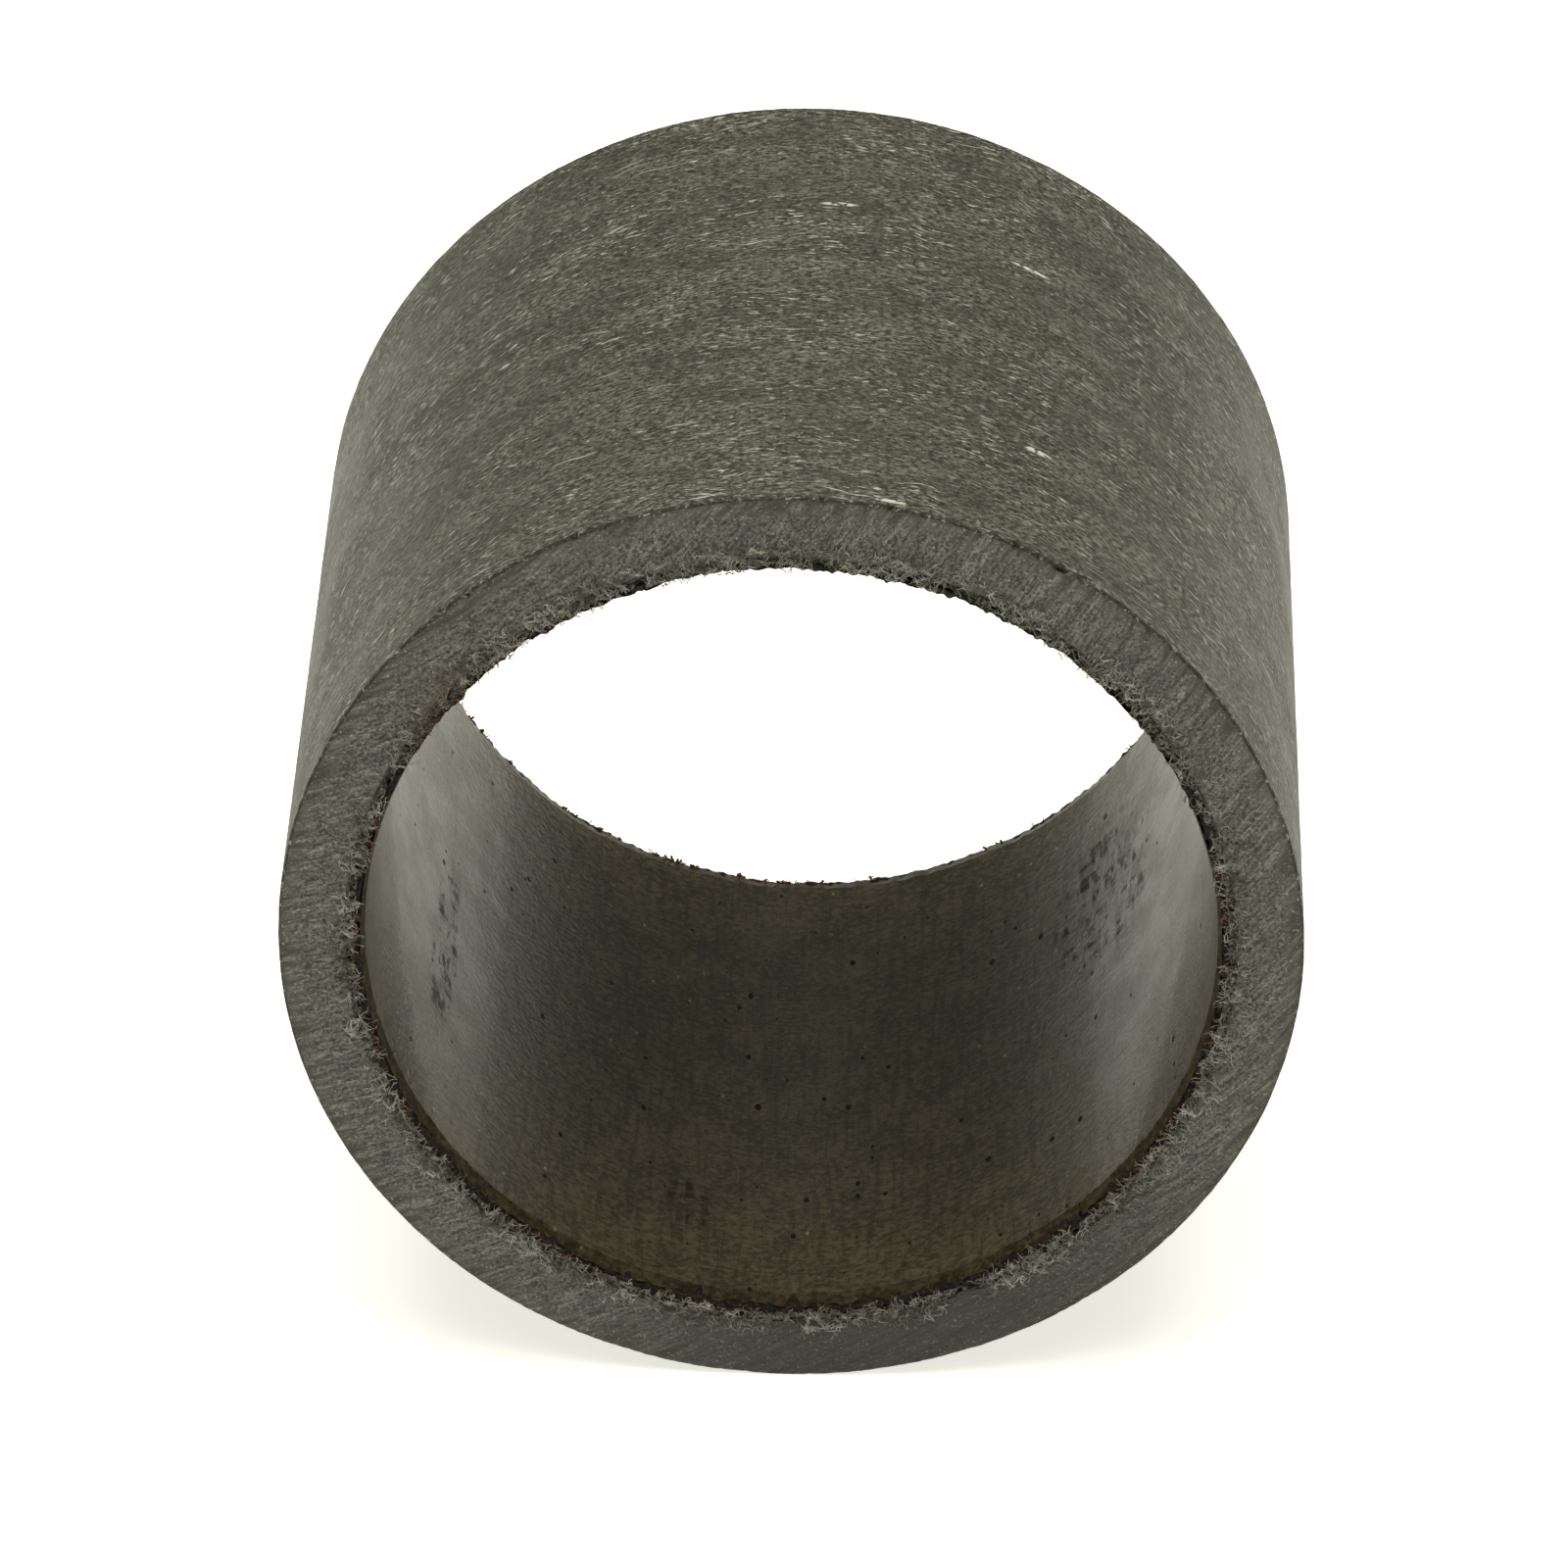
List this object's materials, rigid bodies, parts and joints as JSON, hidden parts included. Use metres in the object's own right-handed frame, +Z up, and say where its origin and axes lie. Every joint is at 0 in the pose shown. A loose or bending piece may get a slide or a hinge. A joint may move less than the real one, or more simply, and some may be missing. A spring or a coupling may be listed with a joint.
{
  "type": "composite sleeve bushing",
  "caption": "Plain cylindrical sleeve bushing, filament wound, with a low-friction yarn liner in the bore, shallow lead-in cones and square sawn ends.",
  "frame": {"origin": "centre of the bore at half length", "axes": "+Y along the bore towards the rear end, -Y towards the front end, +Z up as the bushing lies on its side, +X to the right seen from the front"},
  "size_m": [0.0382, 0.0316, 0.0382],
  "materials": {
    "graphite_resin": "satin, worn smooth",
    "brown_yarn": "matt, cut ends",
    "pale_yarn": "matt, frayed",
    "dark_resin": "matt",
    "sawn_glass_epoxy": "sawn, fine arcs",
    "ground_glass_epoxy": "satin, fibres showing"
  },
  "bodies": {
    "root": {"running_film": "graphite_resin", "ptfe_yarn_winding": "brown_yarn", "carrier_yarn_winding": "pale_yarn", "bond_line": "dark_resin", "backing_inner_winding": "sawn_glass_epoxy", "backing_outer_winding": "ground_glass_epoxy"}
  },
  "joints": []
}
